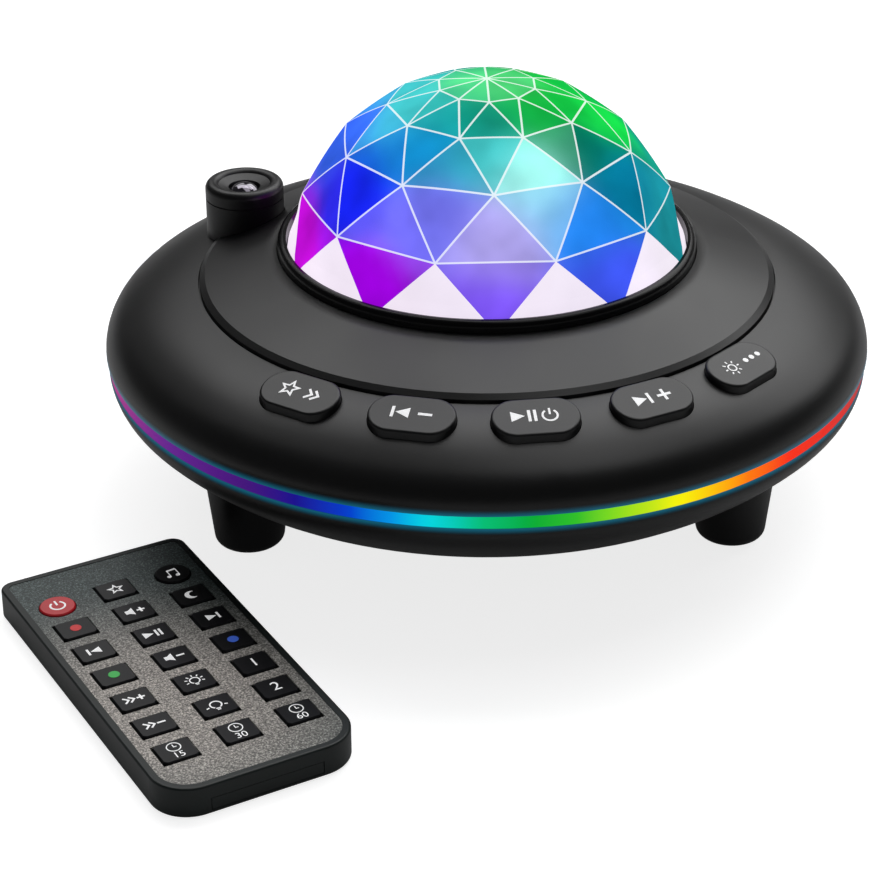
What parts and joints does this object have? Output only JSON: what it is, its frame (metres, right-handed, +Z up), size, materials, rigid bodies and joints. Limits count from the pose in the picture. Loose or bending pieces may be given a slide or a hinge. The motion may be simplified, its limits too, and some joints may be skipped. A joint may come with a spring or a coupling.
{
  "type": "star night light projector",
  "caption": "Saucer-shaped star night light projector on three legs with a faceted dome, laser turret, five buttons, light ring and a card remote.",
  "frame": {"origin": "on the saucer's axis, in the plane of the table that the three foot pads stand on", "axes": "+Z up along the saucer's axis, -Y towards the front (the middle button), +X to the right seen from the front"},
  "size_m": [0.192, 0.2075, 0.0952],
  "materials": {
    "black_shell": "satin black ABS",
    "gloss_black": "glossy black ABS",
    "dome_facets": "clear faceted dome lit in many colours from inside",
    "light_diffuser": "milky diffuser lit as a rainbow",
    "button_rubber": "satin black with white marks",
    "pad_rubber": "soft black rubber",
    "lens_glass": "dark polished lens",
    "inner_plastic": "plain grey moulding",
    "clear_plastic": "clear moulded plastic",
    "circuit_board": "green solder mask",
    "brass": "turned brass",
    "steel": "plated steel",
    "aluminium": "plain aluminium",
    "speaker_black": "black paper and painted steel",
    "remote_shell": "dark green-grey satin",
    "remote_face": "speckled dark grey foil",
    "key_black": "black key with a white mark",
    "key_red": "red key with a white mark"
  },
  "bodies": {
    "projector": {"button_board": "circuit_board", "centre_panel": "black_shell", "deck": "inner_plastic", "dome": "dome_facets", "dome_ring": "gloss_black", "foot_pads": "pad_rubber", "heat_sink": "aluminium", "laser_module": "brass", "led_board": "circuit_board", "light_ring": "light_diffuser", "light_strip": "circuit_board", "lower_shell": "black_shell", "main_board": "circuit_board", "power_socket": "steel", "ripple_axle": "steel", "ripple_motor": "steel", "shell_screws": "steel", "speaker": "speaker_black", "star_lens": "lens_glass", "star_motor": "steel", "turret_cap": "gloss_black", "upper_shell": "black_shell"},
    "remote": {"remote_back_case": "remote_shell", "remote_front_case": "remote_shell", "remote_face_plate": "remote_face", "remote_board": "circuit_board", "remote_led": "clear_plastic"},
    "battery_tray": {"remote_battery_tray": "remote_shell", "remote_cell": "steel"},
    "ripple_disc": {"ripple_disc": "clear_plastic"},
    "ripple_pinion": {"ripple_pinion": "inner_plastic"},
    "star_disc": {"star_disc": "inner_plastic"},
    "button_star_speed": {"button_star_speed": "button_rubber"},
    "button_previous": {"button_previous": "button_rubber"},
    "button_play": {"button_play": "button_rubber"},
    "button_next": {"button_next": "button_rubber"},
    "button_led_mode": {"button_led_mode": "button_rubber"},
    "key_power": {"key_power": "key_red"},
    "key_star": {"key_star": "key_black"},
    "key_sound": {"key_sound": "key_black"},
    "key_red": {"key_red": "key_black"},
    "key_volume_up": {"key_volume_up": "key_black"},
    "key_moon": {"key_moon": "key_black"},
    "key_previous": {"key_previous": "key_black"},
    "key_play": {"key_play": "key_black"},
    "key_next": {"key_next": "key_black"},
    "key_green": {"key_green": "key_black"},
    "key_volume_down": {"key_volume_down": "key_black"},
    "key_blue": {"key_blue": "key_black"},
    "key_speed_up": {"key_speed_up": "key_black"},
    "key_bright": {"key_bright": "key_black"},
    "key_mode_1": {"key_mode_1": "key_black"},
    "key_speed_down": {"key_speed_down": "key_black"},
    "key_dim": {"key_dim": "key_black"},
    "key_mode_2": {"key_mode_2": "key_black"},
    "key_timer_15": {"key_timer_15": "key_black"},
    "key_timer_30": {"key_timer_30": "key_black"},
    "key_timer_60": {"key_timer_60": "key_black"}
  },
  "joints": [
    {"name": "button_star_speed_press", "type": "slide", "parent": "projector", "child": "button_star_speed", "axis": [0, 0, -1], "range_m": [0, 0.0005], "stiffness_N_per_m": 800},
    {"name": "button_previous_press", "type": "slide", "parent": "projector", "child": "button_previous", "axis": [0, 0, -1], "range_m": [0, 0.0005], "stiffness_N_per_m": 800},
    {"name": "button_play_press", "type": "slide", "parent": "projector", "child": "button_play", "axis": [0, 0, -1], "range_m": [0, 0.0005], "stiffness_N_per_m": 800},
    {"name": "button_next_press", "type": "slide", "parent": "projector", "child": "button_next", "axis": [0, 0, -1], "range_m": [0, 0.0005], "stiffness_N_per_m": 800},
    {"name": "button_led_mode_press", "type": "slide", "parent": "projector", "child": "button_led_mode", "axis": [0, 0, -1], "range_m": [0, 0.0005], "stiffness_N_per_m": 800},
    {"name": "ripple_disc_spin", "type": "hinge", "parent": "projector", "child": "ripple_disc", "pos_m": [0, 0, 0.0495], "axis": [0, 0, 1], "continuous": true},
    {"name": "ripple_pinion_spin", "type": "hinge", "parent": "projector", "child": "ripple_pinion", "pos_m": [0.0327, 0.0119, 0.0495], "axis": [0, 0, 1], "continuous": true},
    {"name": "star_disc_spin", "type": "hinge", "parent": "projector", "child": "star_disc", "pos_m": [-0.04244, 0.0245, 0.0422], "axis": [0, 0, 1], "continuous": true},
    {"name": "remote_lift", "type": "slide", "parent": "projector", "child": "remote", "axis": [-0.5, -0.5, 0.7071], "range_m": [0, 0.1]},
    {"name": "battery_tray_slide", "type": "slide", "parent": "remote", "child": "battery_tray", "axis": [0.373, -0.9278, 0], "range_m": [0, 0.022]},
    {"name": "key_power_press", "type": "slide", "parent": "remote", "child": "key_power", "axis": [0, 0, -1], "range_m": [0, 0.0004], "stiffness_N_per_m": 300},
    {"name": "key_star_press", "type": "slide", "parent": "remote", "child": "key_star", "axis": [0, 0, -1], "range_m": [0, 0.0004], "stiffness_N_per_m": 300},
    {"name": "key_sound_press", "type": "slide", "parent": "remote", "child": "key_sound", "axis": [0, 0, -1], "range_m": [0, 0.0004], "stiffness_N_per_m": 300},
    {"name": "key_red_press", "type": "slide", "parent": "remote", "child": "key_red", "axis": [0, 0, -1], "range_m": [0, 0.0004], "stiffness_N_per_m": 300},
    {"name": "key_volume_up_press", "type": "slide", "parent": "remote", "child": "key_volume_up", "axis": [0, 0, -1], "range_m": [0, 0.0004], "stiffness_N_per_m": 300},
    {"name": "key_moon_press", "type": "slide", "parent": "remote", "child": "key_moon", "axis": [0, 0, -1], "range_m": [0, 0.0004], "stiffness_N_per_m": 300},
    {"name": "key_previous_press", "type": "slide", "parent": "remote", "child": "key_previous", "axis": [0, 0, -1], "range_m": [0, 0.0004], "stiffness_N_per_m": 300},
    {"name": "key_play_press", "type": "slide", "parent": "remote", "child": "key_play", "axis": [0, 0, -1], "range_m": [0, 0.0004], "stiffness_N_per_m": 300},
    {"name": "key_next_press", "type": "slide", "parent": "remote", "child": "key_next", "axis": [0, 0, -1], "range_m": [0, 0.0004], "stiffness_N_per_m": 300},
    {"name": "key_green_press", "type": "slide", "parent": "remote", "child": "key_green", "axis": [0, 0, -1], "range_m": [0, 0.0004], "stiffness_N_per_m": 300},
    {"name": "key_volume_down_press", "type": "slide", "parent": "remote", "child": "key_volume_down", "axis": [0, 0, -1], "range_m": [0, 0.0004], "stiffness_N_per_m": 300},
    {"name": "key_blue_press", "type": "slide", "parent": "remote", "child": "key_blue", "axis": [0, 0, -1], "range_m": [0, 0.0004], "stiffness_N_per_m": 300},
    {"name": "key_speed_up_press", "type": "slide", "parent": "remote", "child": "key_speed_up", "axis": [0, 0, -1], "range_m": [0, 0.0004], "stiffness_N_per_m": 300},
    {"name": "key_bright_press", "type": "slide", "parent": "remote", "child": "key_bright", "axis": [0, 0, -1], "range_m": [0, 0.0004], "stiffness_N_per_m": 300},
    {"name": "key_mode_1_press", "type": "slide", "parent": "remote", "child": "key_mode_1", "axis": [0, 0, -1], "range_m": [0, 0.0004], "stiffness_N_per_m": 300},
    {"name": "key_speed_down_press", "type": "slide", "parent": "remote", "child": "key_speed_down", "axis": [0, 0, -1], "range_m": [0, 0.0004], "stiffness_N_per_m": 300},
    {"name": "key_dim_press", "type": "slide", "parent": "remote", "child": "key_dim", "axis": [0, 0, -1], "range_m": [0, 0.0004], "stiffness_N_per_m": 300},
    {"name": "key_mode_2_press", "type": "slide", "parent": "remote", "child": "key_mode_2", "axis": [0, 0, -1], "range_m": [0, 0.0004], "stiffness_N_per_m": 300},
    {"name": "key_timer_15_press", "type": "slide", "parent": "remote", "child": "key_timer_15", "axis": [0, 0, -1], "range_m": [0, 0.0004], "stiffness_N_per_m": 300},
    {"name": "key_timer_30_press", "type": "slide", "parent": "remote", "child": "key_timer_30", "axis": [0, 0, -1], "range_m": [0, 0.0004], "stiffness_N_per_m": 300},
    {"name": "key_timer_60_press", "type": "slide", "parent": "remote", "child": "key_timer_60", "axis": [0, 0, -1], "range_m": [0, 0.0004], "stiffness_N_per_m": 300}
  ],
  "couplings": [
    {"joint": "ripple_pinion_spin", "follows": "ripple_disc_spin", "ratio": -4.8}
  ]
}
